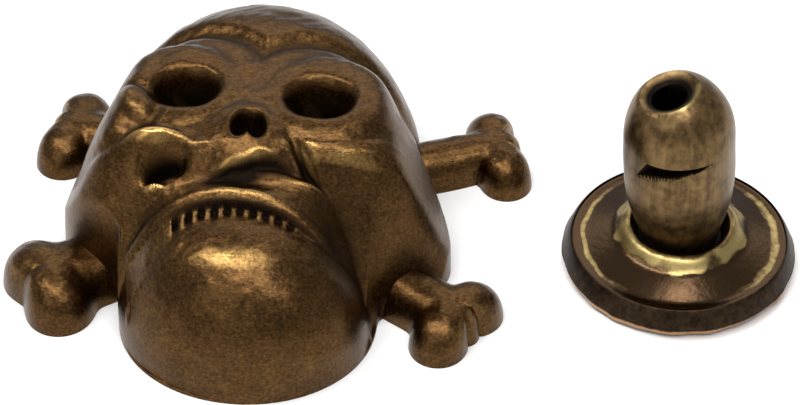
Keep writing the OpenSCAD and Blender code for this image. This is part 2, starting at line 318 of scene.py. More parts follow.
    def muzzle(self, x: Array, y: Array) -> Array:
        """Broad mound round the mouth, dished over the lip and cut off at the lip's edge."""
        body = mound(oval(x, y, (0.1, -3.1), (4.1, 2.6)), self.lip_z + 0.05, 2.0)
        dish = 0.15 * hollow(oval(x, y, (0.1, -1.9), (2.0, 0.25)), 1.0)
        roll = 0.12 * hollow(oval(x, y - self.lip_line(x), (0.0, 0.28), (1.9, 0.2)), 1.0)
        behind = 0.5 * np.clip(y - self.lip_line(x) - 0.35, 0.0, 1.2)
        body = np.minimum(body, self.lip_level(x) - 0.04) + behind - dish + roll
        return soft_min(body, self.lip_level(x) + 3.0 * (y - self.lip_line(x)), 0.3)

    def tooth_gaps(self, x: Array, y: Array) -> Array:
        """Gaps between the teeth, 1 in a gap and 0 on a tooth: a flat bell across x."""
        half = 0.5 * self.tooth_count
        nearest = np.clip(np.round(x / self.tooth_pitch - half) + half, -half, half)
        gap = np.exp(-((x - nearest * self.tooth_pitch) / (0.55 * self.tooth_gap)) ** 4)
        return gap * rise((self.lip_line(x) - 0.02 - y) / 0.05)

    def teeth(self, x: Array, y: Array) -> Array:
        """Row of teeth under the lip, on a slope down to the chin."""
        level = self.lip_level(x) - self.tooth_drop
        row = soft_min(level, level + 0.4 * (y - self.lip_line(x)), 0.08)
        inside = (np.abs(x) < 3.2) & (y < self.lip_line(x) + 0.1) & (y > self.lip_line(x) - 1.2)
        return np.where(inside, row - 0.3 * self.tooth_gaps(x, y), 0.0)

    def chin(self, x: Array, y: Array) -> Array:
        """Chin: a full ball in front of the teeth."""
        return mound(oval(x + 0.62 + 0.12 * y, y, (0.0, -3.3), (3.72, 3.12)), self.chin_z, 1.1)

    def holes(self, x: Array, y: Array) -> Array:
        """Depth of the eye sockets, and of the nose, whose two lobes part downwards."""
        left = self.eye_depth * hollow(oval(x, y, (-1.9, 1.04), (0.74, 0.64), 6.0), 1.7)
        right = self.eye_depth * hollow(oval(x, y, (2.05, 0.94), (0.76, 0.64), -4.0), 1.7)
        nose = np.maximum(hollow(oval(x, y, (0.0, -0.42), (0.24, 0.4), -20.0), 1.6),
                          hollow(oval(x, y, (0.32, -0.42), (0.24, 0.4), 20.0), 1.6))
        return left + right + 1.2 * nose

    def height(self, px: Array, y: Array, reach: Array, pierced: bool = True) -> Array:
        """Height of the head over the plan.

        Args:
            px, y: Places in the plan.
            reach: Share of the way from the hub to the outline.
            pierced: Whether the eye sockets and the nose are in it.

        Returns:
            The height, in mm.
        """
        x = px - self.middle(y)
        face = soft_max(self.upper_face(x, y), self.jaw(x, y), 0.1) + self.cheek_relief(x, y)
        mouth = np.maximum(soft_max(face, np.clip(self.muzzle(x, y), 0.0, None), 0.12), self.teeth(x, y))
        whole = soft_max(mouth, self.chin(px, y), 0.03)
        if pierced:
            whole = whole - self.holes(x, y)
        wall = 5.7 * np.sqrt(np.clip(1.0 - reach ** 9, 0.0, None))
        return np.clip(soft_min(whole, wall, 0.15), 0.02, None)


@dataclass(frozen=True)
class BoneEnd:
    """End of a crossbone: a shaft that runs out into two knobs, beside the head.

    Args:
        name: Name of the bone end.
        at: Angle and distance of its middle from the socket.
        turn: Direction in which it points, in degrees.
        knob: Radius of its knobs.
        spread: Half of the distance between the knobs.
        shaft: Half width of the shaft.
        height: Height of the knobs.
    """

    name: str
    at: tuple[float, float]
    turn: float
    knob: float
    spread: float
    shaft: float
    height: float

    def outline(self, angle: Array) -> Array:
        """Plan of the bone end: the rounded highest of the edges of its lobe and its shaft."""
        folded = np.arctan2(np.abs(np.sin(angle)), np.cos(angle))
        lobe = edge_along(folded, (0.0, 0.0), (0.0, self.spread), (self.knob, self.knob))
        shaft = edge_along(angle, (0.0, 0.0), (-2.3, 0.0), (2.95, self.shaft))
        return soft_max(lobe, shaft, 0.5)

    def relief(self, x: Array, y: Array, reach: Array) -> Array:
        """Height of the bone end: the rounded highest of a knob and the shaft, under a wall."""
        size = 1.25 * self.knob
        knob = self.height * np.sqrt(
            np.clip(1.0 - 0.8 * oval(x, np.abs(y), (0.0, self.spread), (size, size)), 0.0, None))
        shaft = 0.95 * self.height * np.sqrt(np.clip(1.1 - 0.9 * (y / self.shaft) ** 2, 0.0, None))
        shaft = shaft - 0.25 * np.clip(x, 0.0, None)
        wall = 1.15 * self.height * np.sqrt(np.clip(1.0 - reach ** 2.6, 0.0, None))
        return np.clip(soft_min(soft_max(knob, shaft, 0.3), wall, 0.3), 0.02, None)


BONE_ENDS = (
    BoneEnd("bone_upper_right", (34.5, 8.05), 20.0, 0.72, 0.98, 0.85, 1.15),
    BoneEnd("bone_upper_left", (147.0, 7.7), 166.0, 0.76, 0.95, 0.9, 1.15),
    BoneEnd("bone_lower_left", (203.2, 6.63), 216.0, 0.92, 0.8, 1.2, 1.35),
    BoneEnd("bone_lower_right", (334.6, 6.66), 326.0, 0.78, 0.86, 0.95, 1.2),
)


class NodeDesk:
    """Short ways to lay out the nodes of one material."""

    def __init__(self, name: str) -> None:
        """Starts a material of metal.

        Args:
            name: Name of the material.
        """
        self.material = bpy.data.materials.new(name)
        self.material.use_nodes = True
        self.tree = self.material.node_tree
        self.shader = self.tree.nodes["Principled BSDF"]
        self.shader.inputs["Metallic"].default_value = 1.0
        self.place = self.tree.nodes.new("ShaderNodeTexCoord").outputs["Object"]

    def join(self, value: Value, socket: bpy.types.NodeSocket) -> None:
        """Feeds a socket from a number, a colour or another node."""
        if isinstance(value, bpy.types.NodeSocket):
            self.tree.links.new(value, socket)
        elif isinstance(value, tuple):
            socket.default_value = (*value, 1.0)
        else:
            socket.default_value = value

    def noise(self, size: float, detail: float, stretch: Triple = (1.0, 1.0, 1.0)) -> bpy.types.NodeSocket:
        """Cloudy noise on Object coordinates.

        Args:
            size: Size of its patches, in mm.
            detail: Number of finer layers in it.
            stretch: Rates along x, y and z, under 1 for streaks along that axis.

        Returns:
            The noise, about 0.5 on average.
        """
        turn = self.tree.nodes.new("ShaderNodeMapping")
        turn.inputs["Scale"].default_value = stretch
        self.join(self.place, turn.inputs["Vector"])
        made = self.tree.nodes.new("ShaderNodeTexNoise")
        made.inputs["Scale"].default_value = 1.0 / (size * MM)
        made.inputs["Detail"].default_value = detail
        made.inputs["Roughness"].default_value = 0.6
        self.join(turn.outputs["Vector"], made.inputs["Vector"])
        return made.outputs["Fac"]

    def ramp(self, value: bpy.types.NodeSocket, stops: list[tuple[float, Triple]]) -> bpy.types.NodeSocket:
        """Colours along a value, given as places and colours."""
        made = self.tree.nodes.new("ShaderNodeValToRGB")
        while len(made.color_ramp.elements) < len(stops):
            made.color_ramp.elements.new(0.5)
        for element, (where, colour) in zip(made.color_ramp.elements, stops):
            element.position = where
            element.color = (*colour, 1.0)
        self.join(value, made.inputs["Fac"])
        return made.outputs["Color"]

    def sum(self, a: Value, b: Value, c: Value, clamp: bool = False) -> bpy.types.NodeSocket:
        """One step of arithmetic: a times b, plus c."""
        made = self.tree.nodes.new("ShaderNodeMath")
        made.operation = "MULTIPLY_ADD"
        made.use_clamp = clamp
        for socket, value in zip(made.inputs, (a, b, c)):
            self.join(value, socket)
        return made.outputs["Value"]

    def blend(self, share: bpy.types.NodeSocket, first: Value, second: Value) -> bpy.types.NodeSocket:
        """Mix of two colours by a share."""
        made = self.tree.nodes.new("ShaderNodeMix")
        made.data_type = "RGBA"
        self.join(share, made.inputs["Factor"])
        self.join(first, made.inputs[6])
        self.join(second, made.inputs[7])
        return made.outputs[2]

    def tone(self, name: str) -> bpy.types.NodeSocket:
        """One of the piece's tones."""
        made = self.tree.nodes.new("ShaderNodeAttribute")
        made.attribute_name = name
        return made.outputs["Fac"]


@dataclass(frozen=True)
class Layer:
    """A look that lies over the base metal where a tone of the piece says so.

    Args:
        tone: Name of the tone.
        colour: Colour of the layer, linear.
        rough: Roughness of the layer.
        start: Value of the tone at which it starts.
        gain: How fast it comes in after that.
        ragged: How much noise breaks up its edge.
    """

    tone: str
    colour: Triple
    rough: float
    start: float = 0.1
    gain: float = 2.0
    ragged: float = 1.0


@dataclass(frozen=True)
class MetalFinish:
    """Antique metal: mottled brown, with layers over it where the piece's tones say: painted shade in hollows, worn
    edges with painted highlights, and colours of its own.

    Args:
        name: Name of the material.
        dark, base, warm: The three browns of the mottling, as linear colours.
        rough: Roughness of the brown metal.
        patch: Size of the mottling, in mm.
        streaks: Rates of the fine streaks along x, y and z.
        bump: Depth of the fine relief, in mm.
        layers: Looks over the base, in order.
    """

    name: str
    dark: Triple
    base: Triple
    warm: Triple
    rough: float
    patch: float
    streaks: Triple
    bump: float
    layers: tuple[Layer, ...]

    def build(self) -> bpy.types.Material:
        """Makes the material from noise on Object coordinates and the piece's tones, which carry painted shade and
        painted highlights as well as colours of its own.
        """
        desk = NodeDesk(self.name)
        broad = desk.noise(8.0 * self.patch, 3.0)
        cloud = desk.noise(self.patch, 6.0)
        streak = desk.noise(0.6 * self.patch, 4.0, self.streaks)
        mixed = desk.sum(cloud, 0.5, desk.sum(streak, 0.4, desk.sum(broad, 0.25, -0.08)))
        skin = desk.ramp(mixed, [(0.38, self.dark), (0.53, self.base), (0.7, self.warm)])
        rough = desk.sum(cloud, 0.24, self.rough - 0.12)
        for layer in self.layers:
            ragged = desk.sum(mixed, 2.0 * layer.ragged, 1.0 - layer.ragged)
            over = desk.sum(desk.tone(layer.tone), ragged, -layer.start)
            share = desk.sum(over, layer.gain, 0.0, True)
            skin = desk.blend(share, skin, layer.colour)
            rest = desk.sum(share, -1.0, 1.0)
            rough = desk.sum(share, layer.rough, desk.sum(rough, rest, 0.0))
        desk.join(skin, desk.shader.inputs["Base Color"])
        desk.join(rough, desk.shader.inputs["Roughness"])
        bump = desk.tree.nodes.new("ShaderNodeBump")
        bump.inputs["Distance"].default_value = self.bump * MM
        desk.join(desk.sum(cloud, 0.7, streak), bump.inputs["Height"])
        desk.join(bump.outputs["Normal"], desk.shader.inputs["Normal"])
        return desk.material


CAP_BRONZE = MetalFinish(
    "cap_bronze", (0.048, 0.025, 0.010), (0.093, 0.048, 0.017), (0.170, 0.088, 0.029),
    0.31, 0.1, (0.5, 1.0, 1.0), 0.008,
    # Golden layer: worn high points of the relief, with painted highlights along edges, on the eye rims and across
    # the chin.
    (Layer("wear_and_highlight", (0.55, 0.33, 0.11), 0.22, 0.12, 1.6, 1.0),
     # Near-black layer: painted shade in hollows and crevices, between the teeth, in the eye sockets, the nose and
     # the socket.
     Layer("hollow", (0.010, 0.006, 0.004), 0.6, 0.1, 1.6, 0.7)))
POST_BRASS = MetalFinish(
    "post_brass", (0.085, 0.052, 0.023), (0.175, 0.110, 0.048), (0.25, 0.165, 0.072),
    0.36, 0.3, (1.0, 1.0, 0.06), 0.008,
    (Layer("plate", (0.058, 0.034, 0.018), 0.22, 0.1, 3.0, 0.4),
     # Yellow layer: the worn ring round the collar, a band near the plate's edge, and a painted highlight on the
     # tip's rim.
     Layer("wear_and_highlight", (0.40, 0.30, 0.12), 0.36, 0.25, 2.2, 1.2),
     # Near-black layer: painted shade round the neck, at the stem's foot, in the dent, in the tip's hole and inside
     # the stem.
     Layer("hollow", (0.012, 0.008, 0.006), 0.55, 0.1, 1.6, 0.5)))
BASE_BRASS = MetalFinish(
    "base_brass", (0.020, 0.013, 0.008), (0.042, 0.027, 0.015), (0.075, 0.047, 0.024),
    0.45, 0.25, (1.0, 1.0, 0.4), 0.008,
    (Layer("copper", (0.42, 0.21, 0.08), 0.35, 0.35, 5.0, 1.3),
     Layer("wear_and_highlight", (0.50, 0.40, 0.16), 0.30, 0.3, 5.0, 1.2)))


@dataclass
class SkullCap:
    """The cast cap: the carved head with the socket in its back, and the four bone ends, in mm."""

    head: HeadForm = field(default_factory=HeadForm)
    around: int = 440
    rings: int = 210
    bone_around: int = 150
    bone_rings: int = 60
    crowding: float = 1.35
    socket_r: float = 1.7
    socket_depth: float = 3.0
    chamfer: float = 0.2
    rough_cast: float = 0.012

    def reaches(self, rings: int) -> Array:
        """Reach of each ring, crowded towards the outline: 1 - (1 - share) to the crowding."""
        return 1.0 - (1.0 - np.arange(1, rings + 1) / rings) ** self.crowding

    def face_rings(self) -> tuple[Array, Array]:
        """Rings of the head's face, from the hub to the outline, and the directions round them."""
        angle = np.linspace(0.0, 2.0 * math.pi, self.around, endpoint=False)
        reach = self.reaches(self.rings)
        r = self.head.outline(angle)[None, :] * reach[:, None]
        x = self.head.hub[0] + r * np.cos(angle)
        y = self.head.hub[1] + r * np.sin(angle)
        z = self.head.height(x, y, np.broadcast_to(reach[:, None], x.shape))
        z[-1] = 0.0
        return np.stack([x, y, z], -1), angle

    def bone_plan(self, bone: BoneEnd) -> Array:
        """Rings of a bone end in its own plan, with their heights."""
        angle = np.linspace(0.0, 2.0 * math.pi, self.bone_around, endpoint=False)
        reach = self.reaches(self.bone_rings)
        r = bone.outline(angle)[None, :] * reach[:, None]
        x, y = r * np.cos(angle), r * np.sin(angle)
        z = bone.relief(x, y, np.broadcast_to(reach[:, None], x.shape))
        z[-1] = 0.0
        return np.stack([x, y, z], -1)

    def placed(self, bone: BoneEnd, points: Array) -> Array:
        """Points of a bone end's own plan, turned and moved to its place beside the head."""
        c, s = math.cos(math.radians(bone.turn)), math.sin(math.radians(bone.turn))
        at, far = math.radians(bone.at[0]), bone.at[1]
        x, y = points[..., 0], points[..., 1]
        return np.stack([x * c - y * s + far * math.cos(at), x * s + y * c + far * math.sin(at), points[..., 2]], -1)

    def scale(self, face: Array, bones: list[Array]) -> Array:
        """Factors from the sculptor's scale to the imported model's size, along x, y and z."""
        low, high = (np.array(corner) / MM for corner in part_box("skull_cap"))
        every = np.concatenate([part.reshape(-1, 3) for part in [face, *bones]])
        own_low, own_high = every.min(0), every.max(0)
        own_low[2] = -1.0
        low[2] = -9.0
        return np.minimum(high / own_high, low / own_low)

    def tones(self, form: Callable[[Array, Array], Array], rings: Array, near: float, far: float) -> dict[str, Array]:
        """Hollow and wear of a relief, from its height against the mean of rings round each point.

        Args:
            form: Height over the plan.
            rings: Points of the surface.
            near, far: Radii of the two rings that each point is compared with.

        Returns:
            The tones hollow, painted shade where the relief is concave, and wear_and_highlight, worn edges and
            painted highlights where it is convex, each 0 to 1.
        """
        x, y = rings[..., 0], rings[..., 1]
        here = form(x, y)
        ways = np.linspace(0.0, 2.0 * math.pi, 8, endpoint=False)
        bend = []
        for radius in (near, far):
            around = np.stack([form(x + radius * math.cos(a), y + radius * math.sin(a)) for a in ways])
            slope = 0.25 / radius * np.hypot(np.tensordot(np.cos(ways), around, 1), np.tensordot(np.sin(ways), around, 1))
            bend.append((around.mean(0) - here) / radius / (1.0 + slope ** 2))
        fade = np.clip(here / 0.8, 0.0, 1.0)
        # Painted shade where the relief is concave, worn metal and painted highlights where it is convex.
        hollowness = np.clip(1.1 * bend[0] + 1.3 * bend[1] - 0.04, 0.0, 1.0)
        wear_and_highlight = np.clip(-2.4 * bend[0] - 0.1, 0.0, 1.0)
        return {"hollow": hollowness * fade, "wear_and_highlight": wear_and_highlight * fade}

    def cast(self, rings: Array, seed: int) -> Array:
        """Rings with the small unevenness of a casting, fading out towards the outline."""
        grain = Ripple(0.9, seed=seed).at(rings) + 0.5 * Ripple(0.35, seed=seed + 1).at(rings)
        fade = np.clip(np.arange(len(rings))[::-1] * 0.15, 0.0, 1.0)
        rough = rings.copy()
        rough[..., 2] += self.rough_cast * grain * fade[:, None]
        return rough

    def shadowed(self, tones: dict[str, Array], x: Array, y: Array) -> dict[str, Array]:
        """Adds painted shade under the ledge, the lip and in the cheeks, and painted highlights on the edges over
        them.

        Args:
            tones: The tones hollow and wear_and_highlight so far.
            x, y: Places on the face.

        Returns:
            The tones with bells of painted shade across the valley under the ledge, across the tops of the teeth, in
            the left cheek's pocket, in the crevice beside the chin and over the right cheek added to the hollow, and
            bells of painted highlight along the edge of the ledge, the ridge of the left cheek, the lip, the band of
            the right cheek and the groove beside the jaw added to wear_and_highlight, whose painted highlight on the
            lip fades away from the middle.
        """
        valley = hollow(oval(x, y, (0.25, -1.7), (1.4, 0.26), 20.0), 2.0)
        gum = hollow(oval(x, y - self.head.lip_line(x), (0.0, -0.05), (2.4, 0.1)), 1.5)
        ledge = hollow(oval(x, y, (0.1, -1.5), (0.75, 0.08), 20.0), 1.5)
        ridge = hollow(oval(x, y, (-2.65, -1.05), (0.65, 0.24), 4.0), 1.5)
        roll = hollow(oval(x, y - self.head.lip_line(x), (0.2, 0.12), (1.5, 0.12)), 1.5)
        sliver = hollow(oval(x, y, (2.0, -1.2), (0.05, 0.42), 42.0), 1.5)
        pocket = hollow(oval(x, y, (-2.15, -1.58), (0.48, 0.34), 14.0), 1.5)
        corner = hollow(oval(x, y, (2.75, -2.75), (0.35, 1.0), 30.0), 1.0)
        cheek = hollow(oval(x, y, (3.1, -2.3), (1.1, 1.2), 20.0), 1.5)
        away = np.clip(np.abs(x - 0.2) / 1.6, 0.0, 1.0) ** 2 * hollow(oval(x, y - self.head.lip_line(x), (0.0, 0.2), (4.0, 0.4)), 3.0)
        # Painted shade under the ledge, over the tops of the teeth, in the left cheek's pocket, in the crevice beside
        # the chin and over the right cheek.
        tones["hollow"] = np.clip(tones["hollow"] + 0.55 * valley + 0.7 * gum + 0.5 * pocket + 0.35 * corner + 0.24 * cheek, 0.0, 1.0)
        # The painted highlight on the lip fades away from the middle.
        tones["wear_and_highlight"] *= 1.0 - 0.8 * away
        band = hollow(oval(x, y, (3.15, -1.03), (1.0, 0.13), 6.0), 1.5)
        # Painted highlights along the ledge, the left cheek's ridge, the lip, the right cheek's band and the groove
        # beside the jaw.
        tones["wear_and_highlight"] = np.clip(tones["wear_and_highlight"] + 0.35 * ledge + 0.3 * ridge + 0.05 * roll + 0.45 * band + 0.6 * sliver, 0.0, 1.0)
        return tones

    def head_skin(self, face: Array, angle: Array, scale: Array) -> Skin:
        """Closed skin of the head: its face, its flat back, and the socket with its chamfer."""
        hub = self.head.hub

        def over(x: Array, y: Array, pierced: bool = True) -> Array:
            """Height of the head, its outline held flat past its edge."""
            edge = self.head.outline(np.arctan2(y - hub[1], x - hub[0]))
            return self.head.height(x, y, np.minimum(np.hypot(x - hub[0], y - hub[1]) / edge, 1.0), pierced)

        # Painted shade in concave places, and worn edges with painted highlights on convex ones, the latter taken
        # from the form without the holes.
        tones = self.tones(over, face, 0.16, 0.5)
        tones["wear_and_highlight"] = self.tones(lambda x, y: over(x, y, False), face, 0.16, 0.5)["wear_and_highlight"]
        x, y = face[..., 0] - self.head.middle(face[..., 1]), face[..., 1]
        on_teeth = (np.abs(face[..., 2] - self.head.teeth(x, y)) < 0.04) & (face[..., 2] > 1.0)
        tones = self.shadowed(tones, x, y)
        # Painted highlight across the top of the chin.
        tones["wear_and_highlight"] += 0.42 * hollow(oval(face[..., 0], y, (-0.25, -4.35), (1.2, 0.33)), 1.2) * (y < -3.2)
        gaps = self.head.tooth_gaps(x, y)
        # Painted shade in the gaps between the teeth, and a faint painted highlight on the teeth.
        tones["hollow"] = np.where(on_teeth, np.maximum(0.6 * tones["hollow"], 0.9 * gaps), tones["hollow"])
        tones["wear_and_highlight"] = np.where(on_teeth, 0.16 * (1.0 - gaps), tones["wear_and_highlight"])
        holes = self.head.holes(x, y)
        # Painted shade inside the eye sockets and the nose, and no highlight there.
        tones["hollow"] = np.maximum(tones["hollow"], 0.9 * rise(1.6 * holes - 1.2))
        tones["wear_and_highlight"] *= 1.0 - np.clip(holes * 4.0, 0.0, 1.0)
        # Painted highlights on the upper inner rims of the eyes, with less painted shade under them.
        rims = hollow(oval(x, y, (-2.02, 1.47), (0.36, 0.12), -4.0), 1.5) + hollow(oval(x, y, (1.79, 1.41), (0.32, 0.12), 4.0), 1.5)
        tones["wear_and_highlight"] += 0.5 * rims
        tones["hollow"] *= 1.0 - 0.7 * np.clip(rims, 0.0, 1.0)
        face = self.cast(face, 3) * scale
        circle = np.stack([np.cos(angle), np.sin(angle), np.zeros_like(angle)], -1)
        mouth = (self.socket_r + self.chamfer) * circle
        back = [face[-1] * (1.0 - t) + mouth * t for t in np.linspace(0.1, 1.0, 12)]
        up = np.array([0.0, 0.0, 1.0])
        bore = [self.socket_r * circle + up * z for z in np.linspace(self.chamfer, self.socket_depth, 14)]
        floor = [self.socket_r * t * circle + up * self.socket_depth for t in (0.8, 0.5, 0.2)]
        rings = np.concatenate([face, np.stack(back + bore + floor)])
        # Painted shade inside the socket in the back.
        inside = np.full((len(bore) + len(floor), self.around), 0.8)
        dark = np.concatenate([np.zeros((len(back), self.around)), inside])
        tones = {"hollow": np.concatenate([tones["hollow"], dark]),
                 "wear_and_highlight": np.concatenate([tones["wear_and_highlight"], 0.0 * dark])}
        top = np.array([*hub, float(over(np.array(hub[0]), np.array(hub[1])))]) * scale
        return Skin("skull_head", rings, np.stack([top, up * self.socket_depth]), tones)

    def bone_skin(self, bone: BoneEnd, plan: Array, scale: Array) -> Skin:
        """Closed skin of one bone end, with its flat back."""

        def over(x: Array, y: Array) -> Array:
            """Height of the bone end, its outline held flat past its edge."""
            return bone.relief(x, y, np.minimum(np.hypot(x, y) / bone.outline(np.arctan2(y, x)), 1.0))

        tones = self.tones(over, plan, 0.16, 0.4)
        # Weaker painted shade in the hollows of the bone ends.
        tones["hollow"] *= 0.45
        rough = self.cast(plan, 6)
        hub = np.array([0.0, 0.0, float(over(np.zeros(1), np.zeros(1))[0])])
        under = np.zeros(3)
        rings = np.concatenate([rough, 0.5 * rough[-1:]])
        tones = {name: np.concatenate([tone, np.zeros((1, self.bone_around))]) for name, tone in tones.items()}
        poles = self.placed(bone, np.stack([hub, under])) * scale
        return Skin(bone.name, self.placed(bone, rings) * scale, poles, tones)

    def build(self) -> list[bpy.types.Object]:
        """Makes the pieces of the cap, which stand for its one casting."""
        face, angle = self.face_rings()
        plans = [self.bone_plan(bone) for bone in BONE_ENDS]
        scale = self.scale(face, [self.placed(bone, plan) for bone, plan in zip(BONE_ENDS, plans)])
        LOG.info("the sculptor's scale is %s", np.round(scale, 4))
        finish = CAP_BRONZE.build()
        made = [self.head_skin(face, angle, scale).build(finish)]
        made += [self.bone_skin(bone, plan, scale).build(finish) for bone, plan in zip(BONE_ENDS, plans)]
        for piece in made:
            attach(piece, BODY)
            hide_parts("skull_cap")
        return made


@dataclass
class Post:
    """The drawn post: flange, collar and hollow stem with a dent and a pierced tip, in mm.

    Its one wall is a loop of rings: out under the flange, round its edge, in over the plate and the
    collar, up the stem, over the tip, and down through the hole and the inside of the stem.
    """

    height: float = 7.0
    flange_bottom: float = 0.24
    flange_edge_r: float = 3.27
    plate_r: float = 3.2
    plate_z: float = 0.77
    collar_r: float = 1.58
    collar_rise: float = 0.21
    plate_slope: float = 0.34
    trough_z: float = 1.08
    neck_r: float = 1.1
    stem_r: float = 1.64
    wall: float = 0.5
    lean: float = 3.2
    hole_at: tuple[float, float] = (-0.28, -0.08)
    hole_r: float = 0.52
    dish_r: float = 0.86
    dent_z: float = 4.75
    dent_rise: float = 1.15
    dent_step: float = 0.05
    dent_depth: float = 0.52
    dent_turn: float = 17.0
    around: int = 360

    def stem_radius(self, z: Array) -> Array:
        """Radius of the stem by height: a quarter sine wave from the neck to the widest band."""
        t = np.clip((z - self.trough_z) / (0.535 * self.height - self.trough_z), 0.0, 1.0)
        return self.neck_r + (self.stem_r - self.neck_r) * np.sin(0.5 * math.pi * t)

    def dome(self, r: Array) -> Array:
        """Height of the tip over a radius: a half ellipse on the top of the stem."""
        foot = self.height - 1.22 * self.stem_r
        return foot + (self.height - foot) * np.sqrt(np.clip(1.0 - (r / self.stem_r) ** 2, 0.0, 1.0))

    def plate_height(self, r: Array) -> Array:
        """Height of the plate over a radius: a slope, bells for the collar and the brim, and the trough."""
        slope = self.plate_z + self.plate_slope * (self.plate_r - r)
        collar = self.collar_rise * np.exp(-np.abs((r - self.collar_r) / 0.26) ** 2.4)
        inside = rise((1.36 - r) / 0.14)
        brim = 0.13 * np.exp(-((r - self.plate_r) / 0.22) ** 2)
        return (slope + collar + brim) * (1.0 - inside) + self.trough_z * inside

    def flange_rings(self) -> Array:
        """Radius and height of the rings under, round and over the flange."""
        under = [(self.neck_r - self.wall, 0.77), (1.45, 0.72), (1.45, self.flange_bottom)]
        turn = np.linspace(-0.5 * math.pi, 0.5 * math.pi, 14)
        half = 0.5 * (self.plate_z - self.flange_bottom)
        fold = self.plate_r - 0.03
        edge = np.stack([fold + (self.flange_edge_r - fold) * np.cos(turn),
                         self.flange_bottom + half + half * np.sin(turn)], -1)
        r = np.linspace(self.plate_r, self.neck_r + 0.02, 110)
        return np.concatenate([under, edge, np.stack([r, self.plate_height(r)], -1)])

    def leaned(self, points: Array) -> Array:
        """Points turned about the foot of the stem by its lean, towards -X."""
        c, s = math.cos(math.radians(self.lean)), math.sin(math.radians(self.lean))
        x, y, z = points[..., 0], points[..., 1], points[..., 2] - self.trough_z
        return np.stack([x * c - z * s, y, x * s + z * c + self.trough_z], -1)

    def dented(self, points: Array) -> tuple[Array, Array]:
        """Presses the dent into the front of the stem.

        The dent is a flat that starts at the surface, slants in downwards and ends on a narrow step.
        With off the height over the step, its depth is the lesser of 1 - off / rise and
        1 + off / step, times the full depth.

        Args:
            points: Points of the stem, before its lean.

        Returns:
            The points with the dent, and the depth of the dent at each.
        """
        turn = math.radians(self.dent_turn)
        x, y, z = points[..., 0], points[..., 1], points[..., 2]
        off = (z - self.dent_z) * math.cos(turn) - (x - 0.12) * math.sin(turn)
        share = np.minimum(1.0 - off / self.dent_rise, 1.0 + off / self.dent_step)
        tool = -self.stem_r + self.dent_depth * share
        pressed = np.where((share > 0.0) & (y < 0.0), np.maximum(y, tool), y)
        return np.stack([x, pressed, z], -1), pressed - y

    def build(self) -> bpy.types.Object:
        """Makes the post, standing on the axis of the base cap."""
        middle = np.mean([np.array(corner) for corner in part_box("base_cap")], 0) / MM
        angle = np.linspace(0.0, 2.0 * math.pi, self.around, endpoint=False)
        way = np.stack([np.cos(angle), np.sin(angle)], -1)
        rz = self.flange_rings()
        flange = np.concatenate([rz[:, None, :1] * way, np.broadcast_to(rz[:, None, 1:], (len(rz), self.around, 1))], -1)

        z = np.linspace(self.trough_z + 0.02, self.height - 1.22 * self.stem_r, 150)
        stem = np.concatenate([self.stem_radius(z)[:, None, None] * way,
                               np.broadcast_to(z[:, None, None], (len(z), self.around, 1))], -1)
        t = np.linspace(0.0, 1.0, 62)[1:]
        reach = self.dish_r + (self.stem_r - self.dish_r) * np.sqrt(1.0 - t ** 2)
        tip = reach[:, None, None] * way + np.array(self.hole_at) * (t ** 2)[:, None, None]
        sunk = np.zeros_like(t)
        u = np.linspace(0.0, 1.0, 22)[1:]
        lip = (self.hole_r + (self.dish_r - self.hole_r) * np.cos(0.5 * math.pi * u))[:, None, None] * way
        tip = np.concatenate([tip, lip + np.array(self.hole_at)])
        sunk = np.concatenate([sunk, 0.42 * (1.0 - np.cos(0.5 * math.pi * u))])
        top = self.dome(np.hypot(tip[..., 0], tip[..., 1])) - sunk[:, None]
        tip = np.concatenate([tip, top[..., None]], -1)

        inner_r = np.array([0.6, 0.85, 1.1, 1.1, self.neck_r - self.wall])
        inner_z = np.array([6.0, 5.9, 5.2, 3.3, 1.37])
        shift = np.array([1.0, 0.5, 0.0, 0.0, 0.0])
        inner = np.concatenate([inner_r[:, None, None] * way + np.array(self.hole_at) * shift[:, None, None],
                                np.broadcast_to(inner_z[:, None, None], (5, self.around, 1))], -1)
        stem, depth = self.dented(stem)
        upright = np.concatenate([stem, tip, inner])
        flat = np.concatenate([upright[..., :2] * 1.0, upright[..., 2:]], -1)
        swell = 0.012 * Ripple(1.6, seed=21).at(flat)
        keep = np.concatenate([np.ones(len(stem) + len(tip)), np.zeros(len(inner))])[:, None]
        upright[..., :2] *= (1.0 + swell * keep / self.stem_r)[..., None]
        rings = np.concatenate([flange, self.leaned(upright)])

        n = len(flange)
        hollow = np.zeros(rings.shape[:2])
        wear_and_highlight = np.zeros_like(hollow)
        plate = np.zeros_like(hollow)
        r = rz[:, 0][:, None]
        # Painted shade in the trough round the neck.
        hollow[:n] = np.exp(-((r - 1.2) / 0.16) ** 2) * (r < 1.5)
        # Painted shade at the foot of the stem and over the dent.
        hollow[n:n + len(z)] = 0.6 * np.exp(-((z[:, None] - self.trough_z) / 0.2) ** 2) + 0.75 * rise(depth / 0.03 - 1.0)
        # Painted shade going down into the tip's hole and over the whole inside of the stem.
        down = np.concatenate([np.zeros(61), np.clip(sunk[61:] / 0.42 * 1.4 - 0.25, 0.0, 1.0)])
        hollow[n + len(z):n + len(z) + len(down)] = down[:, None]
        hollow[-5:] = 1.0
